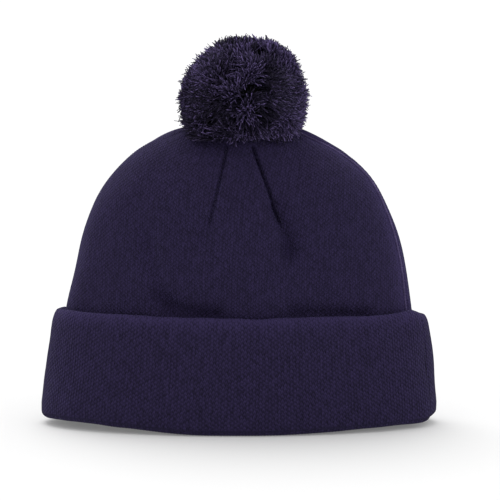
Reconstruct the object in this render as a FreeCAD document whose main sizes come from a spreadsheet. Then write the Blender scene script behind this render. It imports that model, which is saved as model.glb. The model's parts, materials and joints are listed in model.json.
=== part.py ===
import FreeCAD, Part
import os
import re

# A knitted winter hat with a doubled, turned-up cuff and a yarn pom tied on top.
# It stands upright on the turned edge of its cuff, with its mouth down. +Z is up, -Y is the front and
# +X is the right as seen from the front. The origin is the middle of the footprint. Sizes are in mm.
# The knit is drawn as thin closed shells: a crown shell, a lining shell inside it and a band with a
# U section round both. A seam plane, turned a little about Z, splits each shell into front and back.

SIZES = {
    # crown: an oval dome, narrower towards the top, that starts at the cuff's top edge
    "crown_half_width": 98,
    "crown_half_depth": 46,
    "crown_rise": 108.5,  # from the cuff's top edge to where the dome would close
    "crown_taper": 0.16,  # share of the width lost over the rise, before the rounding
    "crown_fullness": 3.6,  # exponent of the dome: a higher number is boxier
    "crown_wall": 2,
    # crown skirt: the stretch inside the cuff
    "skirt_half_width": 100.5,
    "skirt_half_depth": 44.8,
    # lining
    "lining_wall": 1.6,
    "layer_gap": 0.3,  # air between two layers of fabric
    "gather_space": 1.8,  # more air above the lining, for the gathering thread
    # cuff band
    "cuff_half_width": 112.5,
    "cuff_half_depth": 52,
    "cuff_height": 65.5,
    "cuff_lean_width": 5.5,  # how far each side comes in from bottom to top
    "cuff_lean_depth": 1,
    "cuff_wall": 4.4,  # two leaves of knit
    "cuff_edge": 3,  # size of the eased top and bottom edges
    "turn_wall": 2,  # knit under the turned edge
    "hem_height": 12,
    # seams
    "seam_turn": 7,  # degrees the seam plane is turned about Z: the right seam comes forward
    "seam_half_width": 0.8,
    "seam_clearance": 0.3,
    "seam_ridge": 1.2,  # how proud of the crown the side seams stand
    "seam_top": 36,  # distance from the middle at which the side seams end, under the pom
    "thread_width": 1,
    "thread_wall": 0.8,
    "joining_half_height": 4,
    "joining_gap": 0.5,
    # darts: lower end, tilt and length of each stitched line
    "left_dart_x": -17,
    "left_dart_low": 116.5,
    "left_dart_tilt": 12.8,
    "left_dart_length": 40,
    "right_dart_x": 24.7,
    "right_dart_low": 115,
    "right_dart_tilt": -20.8,
    "right_dart_length": 44,
    # eyelet, and the tie that passes through it
    "eyelet_x": 2.8,
    "eyelet_y": -4,
    "eyelet_radius": 3.6,
    "gather_radius": 5.4,
    "gather_thread": 0.6,
    "tie_radius": 1.4,
    "knot_radius": 5,
    "knot_drop": 11.4,  # from the eyelet's top down to the knot's centre
    "shank_below": 5.8,
    "shank_above": 7.2,
    "hitch_gap": 0.4,
    "hitch_radius": 3.2,
    "hitch_height": 18,  # from the eyelet's top up to the hitch's centre
    # pom
    "pom_radius": 36.5,
    "pom_height": 12,  # from the eyelet's top up to the ball's centre
    "pom_underside": 13.5,  # degrees that the cupped underside rises from the crown
    "pom_core_radius": 6.8,
    "binding_radius": 4.6,
    "binding_cord": 1.9,
}
# Sections of the crown's skirt, as shares of the way from the hem to the cuff's top edge.
SKIRT_SHARES = ("0", "1 / 3", "2 / 3")
# Levels of the dome's sections, as shares of its rise. The last is the flat gathered top.
DOME_LEVELS = (0, 0.15, 0.3, 0.45, 0.58, 0.7, 0.8, 0.87, 0.925, 0.96, 0.985)
FAR = 240  # larger than the hat: the reach of a cutting tool

doc = FreeCAD.newDocument("beanie")
sheet = doc.addObject("Spreadsheet::Sheet", "Sizes")
for row, (alias, value) in enumerate(SIZES.items(), start=1):
    sheet.set(f"A{row}", alias)
    sheet.set(f"B{row}", str(value))
    sheet.setAlias(f"B{row}", alias)
doc.recompute()

ALIAS = re.compile(r"\b(" + "|".join(SIZES) + r")\b")


def bind(item, **formulas):
    """Binds properties of an object to formulas in the sheet's aliases. A double underscore is a dot."""
    for prop, formula in formulas.items():
        item.setExpression(prop.replace("__", "."), ALIAS.sub(r"Sizes.\1", str(formula)))
    return item


def add(kind, name, **formulas):
    return bind(doc.addObject(kind, name), **formulas)


def combine(kind, name, base, tool):
    """A boolean of two objects: Part::Cut, Part::Fuse or Part::MultiCommon."""
    made = doc.addObject(kind, name)
    if kind == "Part::MultiCommon":
        made.Shapes = [base, tool]
    else:
        made.Base = base
        made.Tool = tool
    return made


def loft(name, sections, ruled):
    """A closed solid through ovals. Each section is (half width, half depth, level), as formulas."""
    ovals = [
        add("Part::Ellipse", f"{name}_oval_{i}", MajorRadius=a, MinorRadius=b, Placement__Base__z=z)
        for i, (a, b, z) in enumerate(sections)
    ]
    made = doc.addObject("Part::Loft", name)
    made.Sections = ovals
    made.Solid = True
    made.Ruled = ruled
    return made


def dome(name, growth, drop="0", below="0"):
    """The crown's shape with its surface moved outwards by growth, its top lowered by drop as well,
    and its lower edge lowered by below. The crown panels stand a layer gap above the hem."""
    sections = []
    for share in SKIRT_SHARES:
        sections.append((
            f"skirt_half_width + ({growth}) + ({share}) * (crown_half_width - skirt_half_width)",
            f"skirt_half_depth + ({growth}) + ({share}) * (crown_half_depth - skirt_half_depth)",
            f"(1 - {share}) * (hem_height + layer_gap - ({below})) + ({share}) * cuff_height",
        ))
    for level in DOME_LEVELS:
        rounding = f"sqrt(1 - pow({level}; crown_fullness))"
        sections.append((
            f"(crown_half_width + ({growth})) * (1 - crown_taper * {level}) * {rounding}",
            f"(crown_half_depth + ({growth})) * {rounding}",
            f"cuff_height + {level} * (crown_rise + ({growth}) - ({drop}))",
        ))
    return loft(name, sections, ruled=False)


def cylinder(name, x, y, low, high, radius, angle="360"):
    made = add("Part::Cylinder", name, Radius=radius, Height=f"({high}) - ({low})", Angle=angle)
    return bind(made, Placement__Base__x=x, Placement__Base__y=y, Placement__Base__z=low)


def slab(name, half_width, start="-1 * far", end="far"):
    """An upright slab on the seam plane, from start to end along that plane."""
    start = start.replace("far", str(FAR))
    end = end.replace("far", str(FAR))
    made = add("Part::Box", name, Length=f"({end}) - ({start})", Width=f"2 * ({half_width})", Height=2 * FAR)
    made.Placement.Rotation.Axis = FreeCAD.Vector(0, 0, 1)
    bind(
        made,
        Placement__Rotation__Angle="-1 * seam_turn",
        Placement__Base__x=f"({start}) * cos(seam_turn * 1deg) - ({half_width}) * sin(seam_turn * 1deg)",
        Placement__Base__y=f"-1 * ({start}) * sin(seam_turn * 1deg) - ({half_width}) * cos(seam_turn * 1deg)",
        Placement__Base__z=-FAR,
    )
    return made


def half_space(name, turn):
    """Half a wide cylinder on the Z axis: all that lies on one side of the seam plane."""
    made = cylinder(name, "0", "0", -FAR, FAR, FAR, angle="180")
    made.Placement.Rotation.Axis = FreeCAD.Vector(0, 0, 1)
    return bind(made, Placement__Rotation__Angle=turn)


def panels(shell, front_label, back_label, seam_room):
    """Splits a shell at the seam plane into a front and a back piece, with room for the seams."""
    opened = combine("Part::Cut", f"{shell.Name}_opened", shell, seam_room)
    front = combine("Part::MultiCommon", front_label, opened, front_side)
    back = combine("Part::MultiCommon", back_label, opened, back_side)
    pieces.extend([front, back])


def pair_of_seams(shell, left_label, right_label, start):
    """The two stretches of stitching that fill the gaps between a shell's front and back pieces."""
    right_slab = slab(f"{right_label}_slab", "seam_half_width", start=start)
    left_slab = slab(f"{left_label}_slab", "seam_half_width", end=f"-1 * ({start})")
    pieces.append(combine("Part::MultiCommon", right_label, shell, right_slab))
    pieces.append(combine("Part::MultiCommon", left_label, shell, left_slab))


def dart(label, skin, side, facing):
    """A line of stitching up one dart. The back darts mirror the front ones, so facing is -1 or 1."""
    blade = add(
        "Part::Box",
        f"{label}_blade",
        Length="thread_width",
        Width=FAR,
        Height=f"{side}_dart_length",
        Placement__Base__x=f"{side}_dart_x",
        Placement__Base__y=f"{min(facing, 0)} * {FAR}",
        Placement__Base__z=f"{side}_dart_low",
    )
    blade.Placement.Rotation.Axis = FreeCAD.Vector(0, 1, 0)
    bind(blade, Placement__Rotation__Angle=f"{side}_dart_tilt")
    pieces.append(combine("Part::MultiCommon", label, skin, blade))


pieces = []
front_side = half_space("front_side", "180 - seam_turn")
back_side = half_space("back_side", "-1 * seam_turn")
seam_room = slab("seam_room", "seam_half_width + seam_clearance")

# Level of the gathered top's outer face, where the tie comes out and about which the pom moves.
eyelet_top = f"(cuff_height + {DOME_LEVELS[-1]} * crown_rise)"
eyelet = cylinder("eyelet", "eyelet_x", "eyelet_y", "cuff_height", "cuff_height + crown_rise", "eyelet_radius")

# Crown shell, its side seams and its darts.
crown_outside = dome("crown_outside", "0")
crown_inside = dome("crown_inside", "-1 * crown_wall", below="1")
crown_shell = combine("Part::Cut", "crown_shell", crown_outside, crown_inside)
crown_pierced = combine("Part::Cut", "crown_pierced", crown_shell, eyelet)
panels(crown_pierced, "crown_front_panel", "crown_back_panel", seam_room)

ridge_outside = dome("ridge_outside", "seam_ridge")
ridge_shell = combine("Part::Cut", "ridge_shell", ridge_outside, crown_inside)
pair_of_seams(ridge_shell, "left_side_seam", "right_side_seam", start="seam_top")

thread_outside = dome("thread_outside", "layer_gap + thread_wall")
thread_inside = dome("thread_inside", "layer_gap", below="1")
thread_skin = combine("Part::Cut", "thread_skin", thread_outside, thread_inside)
dart("front_left_dart_seam", thread_skin, "left", facing=-1)
dart("front_right_dart_seam", thread_skin, "right", facing=-1)
dart("back_left_dart_seam", thread_skin, "left", facing=1)
dart("back_right_dart_seam", thread_skin, "right", facing=1)

# Lining shell, one layer gap inside the crown.
lining_growth = "-1 * (crown_wall + layer_gap)"
lining_outside = dome("lining_outside", lining_growth, drop="gather_space")
lining_inside = dome("lining_inside", f"{lining_growth} - lining_wall", drop="gather_space", below="1")
lining_shell = combine("Part::Cut", "lining_shell", lining_outside, lining_inside)
lining_pierced = combine("Part::Cut", "lining_pierced", lining_shell, eyelet)
panels(lining_pierced, "lining_front_panel", "lining_back_panel", seam_room)
pair_of_seams(lining_shell, "lining_left_seam", "lining_right_seam", start="seam_top")

# Cuff band. Its section is a U: the doubled outer wall, the turned edge and the hem under the crown.
cuff_top_width = "cuff_half_width - cuff_lean_width"
cuff_top_depth = "cuff_half_depth - cuff_lean_depth"
cuff_body = loft(
    "cuff_body",
    [
        ("cuff_half_width - cuff_edge", "cuff_half_depth - cuff_edge", "0"),
        ("cuff_half_width", "cuff_half_depth", "cuff_edge"),
        (cuff_top_width, cuff_top_depth, "cuff_height - cuff_edge / 2"),
        (f"{cuff_top_width} - cuff_edge / 2", f"{cuff_top_depth} - cuff_edge / 2", "cuff_height"),
    ],
    ruled=True,
)
cuff_bore = loft(
    "cuff_bore",
    [
        ("cuff_half_width - cuff_wall", "cuff_half_depth - cuff_wall", "turn_wall"),
        (f"{cuff_top_width} - cuff_wall", f"{cuff_top_depth} - cuff_wall", "cuff_height + 1"),
    ],
    ruled=True,
)
hem_post = loft(
    "hem_post",
    [("skirt_half_width", "skirt_half_depth", "0"), ("skirt_half_width", "skirt_half_depth", "hem_height")],
    ruled=True,
)
mouth_inset = "crown_wall + layer_gap + lining_wall"
mouth_half_width = f"skirt_half_width - ({mouth_inset})"
mouth_half_depth = f"skirt_half_depth - ({mouth_inset})"
mouth_bore = loft(
    "mouth_bore",
    [(mouth_half_width, mouth_half_depth, "-1"), (mouth_half_width, mouth_half_depth, "hem_height + 1")],
    ruled=True,
)
cuff_pot = combine("Part::Cut", "cuff_pot", cuff_body, cuff_bore)
cuff_filled = combine("Part::Fuse", "cuff_filled", cuff_pot, hem_post)
cuff_ring = combine("Part::Cut", "cuff_ring", cuff_filled, mouth_bore)
panels(cuff_ring, "cuff_front_band", "cuff_back_band", seam_room)
pair_of_seams(cuff_ring, "cuff_left_seam", "cuff_right_seam", start="seam_top")

# Ring of stitching inside the mouth, over the joint between hem, crown and lining.
joining_walls = []
for name, inset, extra in (("outer", "joining_gap", "0"), ("inner", "joining_gap + thread_wall", "1")):
    half_width = f"{mouth_half_width} - ({inset})"
    half_depth = f"{mouth_half_depth} - ({inset})"
    low = f"hem_height - joining_half_height - {extra}"
    high = f"hem_height + joining_half_height + {extra}"
    sections = [(half_width, half_depth, low), (half_width, half_depth, high)]
    joining_walls.append(loft(f"joining_{name}", sections, ruled=True))
pieces.append(combine("Part::Cut", "cuff_joining_seam", *joining_walls))

# Thread that gathers the top, between the crown and the lining.
gather = add(
    "Part::Torus",
    "crown_gather_thread",
    Radius1="gather_radius",
    Radius2="gather_thread",
    Placement__Base__x="eyelet_x",
    Placement__Base__y="eyelet_y",
    Placement__Base__z=f"{eyelet_top} - crown_wall - gather_space / 2 - layer_gap / 2",
)
pieces.append(gather)

# Tie: a knot under the lining, a shank in the eyelet and a hitch over the pom's binding.
knot = add(
    "Part::Sphere",
    "tie_knot",
    Radius="knot_radius",
    Placement__Base__x="eyelet_x",
    Placement__Base__y="eyelet_y",
    Placement__Base__z=f"{eyelet_top} - knot_drop",
)
pieces.append(knot)
shank_top = f"{eyelet_top} + shank_above"
shank = cylinder(
    "pom_tie_shank", "eyelet_x", "eyelet_y", f"{eyelet_top} - shank_below", shank_top, "tie_radius"
)
pieces.append(shank)
hitch_stem = cylinder(
    "hitch_stem",
    "eyelet_x",
    "eyelet_y",
    f"{shank_top} + hitch_gap",
    f"{eyelet_top} + hitch_height",
    "tie_radius",
)
hitch_turns = add(
    "Part::Sphere",
    "hitch_turns",
    Radius="hitch_radius",
    Placement__Base__x="eyelet_x",
    Placement__Base__y="eyelet_y",
    Placement__Base__z=f"{eyelet_top} + hitch_height",
)
pieces.append(combine("Part::Fuse", "pom_tie_hitch", hitch_stem, hitch_turns))

# Pom: a ball of cut yarn. Its underside is cupped, to clear the crown at every tilt, and its core is
# open for the tie. The binding cord holds the strands at their middle.
binding = add(
    "Part::Torus",
    "pom_binding",
    Radius1="binding_radius",
    Radius2="binding_cord",
    Placement__Base__x="eyelet_x",
    Placement__Base__y="eyelet_y",
    Placement__Base__z=f"{eyelet_top} + pom_height",
)
pieces.append(binding)
pom_ball = add(
    "Part::Sphere",
    "pom_ball",
    Radius="pom_radius",
    Placement__Base__x="eyelet_x",
    Placement__Base__y="eyelet_y",
    Placement__Base__z=f"{eyelet_top} + pom_height",
)
pom_room = add(
    "Part::Cone",
    "pom_room",
    Radius1=0,
    Radius2=f"{FAR} / tan(pom_underside * 1deg)",
    Height=FAR,
    Placement__Base__x="eyelet_x",
    Placement__Base__y="eyelet_y",
    Placement__Base__z=f"{eyelet_top} + layer_gap",
)
pom_cup = combine("Part::MultiCommon", "pom_cup", pom_ball, pom_room)
pom_core = cylinder(
    "pom_core",
    "eyelet_x",
    "eyelet_y",
    eyelet_top,
    f"{eyelet_top} + hitch_height + hitch_radius + seam_clearance",
    "pom_core_radius",
)
pieces.append(combine("Part::Cut", "pom_pile", pom_cup, pom_core))

doc.recompute()
for item in doc.Objects:
    if {"Invalid", "Error"} & set(item.State):
        raise RuntimeError(f"{item.Name} is {item.State}")
for piece in pieces:
    if piece.Shape.isNull() or not piece.Shape.isValid() or not piece.Shape.Solids:
        raise RuntimeError(f"{piece.Label} has no valid solid")

os.makedirs("parts", exist_ok=True)
for piece in pieces:
    piece.Shape.exportStep(f"parts/{piece.Label}.step")
    box = piece.Shape.BoundBox
    print(
        f"{piece.Label}: {len(piece.Shape.Solids)} solid, {piece.Shape.Volume / 1000:.2f} cm3, "
        f"z {box.ZMin:.2f} to {box.ZMax:.2f}"
    )
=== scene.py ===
import json
import math

import bpy
import numpy as np
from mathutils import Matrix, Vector


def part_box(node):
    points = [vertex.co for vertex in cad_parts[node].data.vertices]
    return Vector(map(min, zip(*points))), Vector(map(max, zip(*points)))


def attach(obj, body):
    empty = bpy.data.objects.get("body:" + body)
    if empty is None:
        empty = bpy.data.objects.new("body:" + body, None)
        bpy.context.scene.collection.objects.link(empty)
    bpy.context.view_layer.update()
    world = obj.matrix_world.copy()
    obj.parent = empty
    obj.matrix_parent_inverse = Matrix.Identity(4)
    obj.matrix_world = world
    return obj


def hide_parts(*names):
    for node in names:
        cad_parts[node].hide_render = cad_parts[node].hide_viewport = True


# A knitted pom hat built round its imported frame. Shapes are worked out in millimetres in the row
# frame (+Z up, -Y the front) and become metres when a mesh is made.
MM = 0.001

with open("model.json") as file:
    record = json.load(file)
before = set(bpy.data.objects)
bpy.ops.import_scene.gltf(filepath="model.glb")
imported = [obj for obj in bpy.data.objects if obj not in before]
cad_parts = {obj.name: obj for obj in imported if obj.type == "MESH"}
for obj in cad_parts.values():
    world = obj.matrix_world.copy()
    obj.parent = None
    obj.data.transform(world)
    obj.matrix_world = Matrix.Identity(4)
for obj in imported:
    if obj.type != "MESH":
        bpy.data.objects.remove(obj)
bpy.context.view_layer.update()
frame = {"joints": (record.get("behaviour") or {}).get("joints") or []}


# ---------------------------------------------------------------- sizes, from the frame
def span(*nodes):
    """Lowest and highest corner of some CAD nodes together, in millimetres."""
    boxes = [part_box(n) for n in nodes]
    low = np.min([np.array(b[0]) for b in boxes], axis=0)
    high = np.max([np.array(b[1]) for b in boxes], axis=0)
    return low / MM, high / MM


cuff_low, cuff_high = span("cuff_front_band", "cuff_back_band")
crown_low, crown_high = span("crown_front_panel", "crown_back_panel")
pom_top = span("pom_pile")[1][2]
binding_low, binding_high = span("pom_binding")
knot_low, knot_high = span("tie_knot")
PIVOT = np.array(frame["joints"][0]["pos_m"]) / MM

CUFF_HALF_WIDTH = (cuff_high[0] - cuff_low[0]) / 2
CUFF_HALF_DEPTH = (cuff_high[1] - cuff_low[1]) / 2
CUFF_TOP = cuff_high[2] - 0.2  # a soft band settles a little under its own weight
CUFF_WALL = 4.4
CUFF_SOLE = 3.4  # height at which the turned edge becomes the upright outer wall
CUFF_LEAN = 7.3  # how far each side would come in over the cuff's height
HEM_TOP = crown_low[2] - 0.3
CROWN_HALF_WIDTH = CUFF_HALF_WIDTH - 14.2
CROWN_HALF_DEPTH = CUFF_HALF_DEPTH - 6
CROWN_FOOT = cuff_high[2]
CROWN_RISE = (crown_high[2] - CROWN_FOOT) / 0.985
CROWN_TAPER = 0.16  # share by which the crown narrows towards its top, besides its rounding
CROWN_FULLNESS = 3.6  # how squarely its shoulders turn; 2 would be round
CROWN_SHIFT = 0.6  # how far right of the cuff the crown stands
CROWN_WALL = 2.0
LINING_INSET = 2.4  # from the crown's face in to the lining's
LINING_WALL = 1.6
SAG_DEPTH = 8.5  # how far the loose lining hangs away from the crown, in a ring round the knot
SAG_RADIUS = 33
SAG_WIDTH = 14
SEAM_TURN = math.radians(7.8)  # turn of the side seams' plane, which brings the right one to the front
CROWN_STITCH = (1.50, 2.2)  # width and height of one stitch
CUFF_STITCH = (1.77, 2.5)  # the cuff's knit is stretched a little wider
OPENED_AND_HIGHLIGHT_ROWS = 5  # rows of stitches on each side of the cuff's fold that are paler, partly opened by the fold and partly a painted highlight
SKIRT_LIFT = 0.82  # share of the turned edge's lift that the hem inside it follows
DIMPLE = 6.5  # depth of the dimple that the gathers make round the eyelet
FINE = 3  # fine columns of a panel's face for each coarse one of its back
POM_CENTRE = (binding_low + binding_high) / 2
POM_RADIUS = (pom_top - POM_CENTRE[2]) * 0.968  # loose strands reach a little further


# ---------------------------------------------------------------- meshes
def make_piece(name, points, faces, material, body, nodes=(), uv=None):
    """A smooth mesh piece from points in millimetres. It rides on a body and may replace CAD nodes."""
    mesh = bpy.data.meshes.new(name)
    mesh.from_pydata((np.asarray(points) * MM).tolist(), [], faces)
    mesh.validate()
    mesh.shade_smooth()
    if uv is not None:
        corner = np.zeros(len(mesh.loops), np.int32)
        mesh.loops.foreach_get("vertex_index", corner)
        layer = mesh.uv_layers.new(name="knit")
        layer.data.foreach_set("uv", np.asarray(uv, np.float32)[corner].ravel())
    mesh.materials.append(material)
    piece = bpy.data.objects.new(name, mesh)
    bpy.context.scene.collection.objects.link(piece)
    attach(piece, body)
    if nodes:
        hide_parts(*nodes)
    return piece


def grid_faces(rows, columns, start=0, closed=False, flip=False):
    """Quads of a grid of points stored row by row. closed joins the last column to the first."""
    across = columns if closed else columns - 1
    i, j = np.meshgrid(np.arange(rows - 1), np.arange(across), indexing="ij")
    k = (j + 1) % columns
    quads = np.stack([i * columns + j, i * columns + k, (i + 1) * columns + k, (i + 1) * columns + j], -1)
    quads = quads.reshape(-1, 4) + start
    return (quads[:, ::-1] if flip else quads).tolist()


def border(rows, columns, start=0):
    """Indices round the edge of a grid of points, in order."""
    index = np.arange(rows * columns).reshape(rows, columns) + start
    return np.concatenate([index[0, :-1], index[:-1, -1], index[-1, :0:-1], index[:0:-1, 0]])


def shell(fine, coarse, step):
    """Points and faces of a closed sheet: a fine face and a coarse face, step times as coarse."""
    rows, columns = fine.shape[:2]
    coarse = coarse[::step, ::step]
    points = np.concatenate([fine.reshape(-1, 3), coarse.reshape(-1, 3)])
    faces = grid_faces(rows, columns)
    faces += grid_faces(*coarse.shape[:2], start=rows * columns, flip=True)
    edge = border(rows, columns)
    back_edge = border(*coarse.shape[:2], start=rows * columns)
    for k in range(len(back_edge)):
        run = [int(edge[(k * step + m) % len(edge)]) for m in range(step + 1)]
        faces.append([int(back_edge[k]), int(back_edge[(k + 1) % len(back_edge)])] + run[::-1])
    return points, faces


def unit(v):
    """Vectors scaled to a length of one."""
    return v / np.maximum(np.linalg.norm(v, axis=-1, keepdims=True), 1e-9)


def normals_of(points):
    """Unit normals of a grid of points. They point out of the hat for rows that go up."""
    across = np.gradient(points, axis=1)
    along = np.gradient(points, axis=0)
    return unit(np.cross(across, along))


def tubes(paths, radii, sides):
    """Points and faces of closed tubes along n paths of k points: paths (n, k, 3), radii (n, k)."""
    count, length = paths.shape[:2]
    tangent = unit(np.gradient(paths, axis=1))
    helper = np.where(np.abs(tangent[:, :1, 2:]) < 0.9, [[[0.0, 0.0, 1.0]]], [[[1.0, 0.0, 0.0]]])
    side = unit(np.cross(tangent, np.broadcast_to(helper, tangent.shape)))
    up = np.cross(side, tangent)
    turn = np.arange(sides) * 2 * math.pi / sides
    ring = side[:, :, None] * np.cos(turn)[:, None] + up[:, :, None] * np.sin(turn)[:, None]
    skin = paths[:, :, None] + ring * radii[:, :, None, None]
    # Each end closes in a short cone.
    tips = np.stack([
        paths[:, 0] - tangent[:, 0] * radii[:, :1] * 0.6,
        paths[:, -1] + tangent[:, -1] * radii[:, -1:] * 0.6,
    ], axis=1)
    points = np.concatenate([skin.reshape(count, -1, 3), tips], axis=1)
    each = length * sides + 2
    one = grid_faces(length, sides, closed=True, flip=True)
    quads = np.array(one)[None] + (np.arange(count) * each)[:, None, None]
    a = np.arange(sides)
    b = (a + 1) % sides
    last = (length - 1) * sides
    caps = np.concatenate([
        np.stack([a, b, np.full(sides, each - 2)], -1),
        np.stack([b + last, a + last, np.full(sides, each - 1)], -1),
    ])
    caps = caps[None] + (np.arange(count) * each)[:, None, None]
    return points.reshape(-1, 3), quads.reshape(-1, 4).tolist() + caps.reshape(-1, 3).tolist()


def waves(seed, length, count=14):
    """A smooth random field of points, about -1 to 1, whose features are about length mm across."""
    rng = np.random.default_rng(seed)
    direction = unit(rng.normal(size=(count, 3)))
    pull = direction * (math.pi / (length * rng.uniform(0.7, 1.5, count)))[:, None]
    phase = rng.uniform(0, 2 * math.pi, count)
    return lambda points: np.sin(points @ pull.T + phase).sum(-1) / math.sqrt(count)


def ease(x):
    """A smooth step from 0 to 1, as x goes from 0 to 1."""
    x = np.clip(x, 0, 1)
    return x * x * (3 - 2 * x)


# ---------------------------------------------------------------- materials
def new_material(name, roughness, sheen, sheen_tint):
    """A matte fibre material: the material, its node tree and its shader."""
    material = bpy.data.materials.new(name)
    material.use_nodes = True
    shader = material.node_tree.nodes["Principled BSDF"]
    shader.inputs["Roughness"].default_value = roughness
    shader.inputs["Specular IOR Level"].default_value = 0.12
    shader.inputs["Sheen Weight"].default_value = sheen
    shader.inputs["Sheen Roughness"].default_value = 0.4
    shader.inputs["Sheen Tint"].default_value = (*sheen_tint, 1)
    return material, material.node_tree, shader


def math_node(tree, operation, a, b=None, clamp=False):
    """One math node. a and b are sockets or numbers."""
    node = tree.nodes.new("ShaderNodeMath")
    node.operation = operation
    node.use_clamp = clamp
    for socket, value in zip(node.inputs, (a, b)):
        if value is None:
            continue
        if isinstance(value, (int, float)):
            socket.default_value = value
        else:
            tree.links.new(value, socket)
    return node.outputs[0]


def noise_node(tree, vector, size_mm, detail=2.0):
    """Noise whose features are about size_mm across, 0 to 1."""
    node = tree.nodes.new("ShaderNodeTexNoise")
    node.inputs["Scale"].default_value = 1 / (size_mm * MM)
    node.inputs["Detail"].default_value = detail
    tree.links.new(vector, node.inputs["Vector"])
    return node.outputs["Fac"]


def weighed(tree, *terms):
    """The sum of (value, weight) terms."""
    total = math_node(tree, "MULTIPLY", *terms[0])
    for value, weight in terms[1:]:
        total = math_node(tree, "ADD", total, math_node(tree, "MULTIPLY", value, weight))
    return total


def chance(tree, column, row):
    """A random value, 0 to 1, for each whole column and row."""
    cell = tree.nodes.new("ShaderNodeCombineXYZ")
    tree.links.new(math_node(tree, "FLOOR", column), cell.inputs["X"])
    tree.links.new(math_node(tree, "FLOOR", row), cell.inputs["Y"])
    noise = tree.nodes.new("ShaderNodeTexWhiteNoise")
    noise.noise_dimensions = "2D"
    tree.links.new(cell.outputs["Vector"], noise.inputs["Vector"])
    return noise.outputs["Value"]


def coordinates(tree):
    """A piece's two knit coordinates, and its place in space."""
    knit = tree.nodes.new("ShaderNodeUVMap")
    knit.uv_map = "knit"
    split = tree.nodes.new("ShaderNodeSeparateXYZ")
    tree.links.new(knit.outputs["UV"], split.inputs["Vector"])
    place = tree.nodes.new("ShaderNodeTexCoord").outputs["Object"]
    return split.outputs["X"], split.outputs["Y"], place


def ramp_node(tree, factor, stops):
    """Colours between stops (position, colour)."""
    node = tree.nodes.new("ShaderNodeValToRGB")
    ramp = node.color_ramp
    while len(ramp.elements) < len(stops):
        ramp.elements.new(0.5)
    for element, (position, colour) in zip(ramp.elements, stops):
        element.position = position
        element.color = (*colour, 1)
    tree.links.new(factor, node.inputs["Fac"])
    return node.outputs["Color"]


def bump_node(tree, shader, height, distance_mm):
    """Relief of the given depth on a shader's surface."""
    node = tree.nodes.new("ShaderNodeBump")
    node.inputs["Distance"].default_value = distance_mm * MM
    node.inputs["Strength"].default_value = 1.0
    tree.links.new(height, node.inputs["Height"])
    tree.links.new(node.outputs["Normal"], shader.inputs["Normal"])


def shade(colour, factor):
    """A colour made darker or lighter by a factor."""
    return tuple(c * factor for c in colour)


NAVY = (0.0142, 0.0101, 0.0330)


def knit_material(name, colour, point, evenness, fold_row=None):
    """Interlock knit, from the piece's knit coordinates, one unit a stitch. Stitches are V-shaped, those
    of every second column sit half a stitch higher, and point is 1 or -1 for which way the Vs point.
    evenness is how plainly the rows show. Near row fold_row the knit is paler, partly where the fold
    opens it and partly as a painted highlight of the light the fold's rounded top catches."""
    material, tree, shader = new_material(name, 0.9, 0.10, (0.36, 0.30, 0.8))
    u, v, place = coordinates(tree)
    # The yarn wanders, so stitches are a little uneven.
    wander = math_node(tree, "SUBTRACT", noise_node(tree, place, 4.5), 0.5)
    wale = weighed(tree, (u, 1.0), (wander, 0.5))
    second = math_node(tree, "FLOORED_MODULO", math_node(tree, "FLOOR", wale), 2.0)
    leg = math_node(tree, "ABSOLUTE", math_node(tree, "SUBTRACT", math_node(tree, "FRACT", wale), 0.5))
    climb = weighed(tree, (v, 1.0), (second, 0.5), (wander, 0.5), (leg, -0.8 * point))
    row = math_node(tree, "COSINE", math_node(tree, "MULTIPLY", climb, 2 * math.pi))
    column = math_node(tree, "COSINE", math_node(tree, "MULTIPLY", leg, 2 * math.pi))
    fuzz = noise_node(tree, place, 0.6, 3.0)
    mottle = noise_node(tree, place, 2.4, 3.0)
    by_stitch = chance(tree, wale, climb)
    by_leg = chance(tree, math_node(tree, "MULTIPLY", wale, 2.0), climb)
    relief = weighed(tree, (row, 0.5), (column, 0.35), (fuzz, 0.6), (by_leg, 0.12))
    bump_node(tree, shader, relief, 0.3)
    # Paler knit beside the seams: partly pulled open, partly a painted highlight.
    seam_pull_and_highlight_node = tree.nodes.new("ShaderNodeAttribute")
    seam_pull_and_highlight_node.attribute_name = "seam_pull_and_highlight"
    tone = weighed(
        tree, (row, evenness), (column, 0.05), (second, 0.02), (fuzz, 0.42), (mottle, 0.05),
        (by_stitch, 0.05), (by_leg, 0.20), (seam_pull_and_highlight_node.outputs["Fac"], 0.35),
    )
    # Paler knit along the fold: partly stitches that it opens, partly a painted highlight of the light on
    # its top.
    if fold_row is not None:
        away = math_node(tree, "ABSOLUTE", math_node(tree, "SUBTRACT", v, fold_row))
        opened_and_highlight = math_node(tree, "SUBTRACT", 1.0, math_node(tree, "DIVIDE", away, OPENED_AND_HIGHLIGHT_ROWS), True)
        tone = weighed(tree, (tone, 1.0), (math_node(tree, "MULTIPLY", opened_and_highlight, opened_and_highlight), 0.25))
    stops = [(0.06, shade(colour, 0.40)), (0.33, colour), (0.66, shade(colour, 2.2))]
    tree.links.new(ramp_node(tree, tone, stops), shader.inputs["Base Color"])
    return material


def yarn_material(name, colour, roughness):
    """Plied yarn or thread: fine streaks of lighter and darker fibre."""
    material, tree, shader = new_material(name, roughness, 0.35, (0.42, 0.38, 0.7))
    place = tree.nodes.new("ShaderNodeTexCoord").outputs["Object"]
    fibre = noise_node(tree, place, 0.45, 2.0)
    patch = noise_node(tree, place, 5.0, 2.0)
    tone = weighed(tree, (fibre, 0.55), (patch, 0.45))
    stops = [(0.3, shade(colour, 0.5)), (0.5, colour), (0.72, shade(colour, 1.9))]
    tree.links.new(ramp_node(tree, tone, stops), shader.inputs["Base Color"])
    bump_node(tree, shader, fibre, 0.15)
    return material


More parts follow.
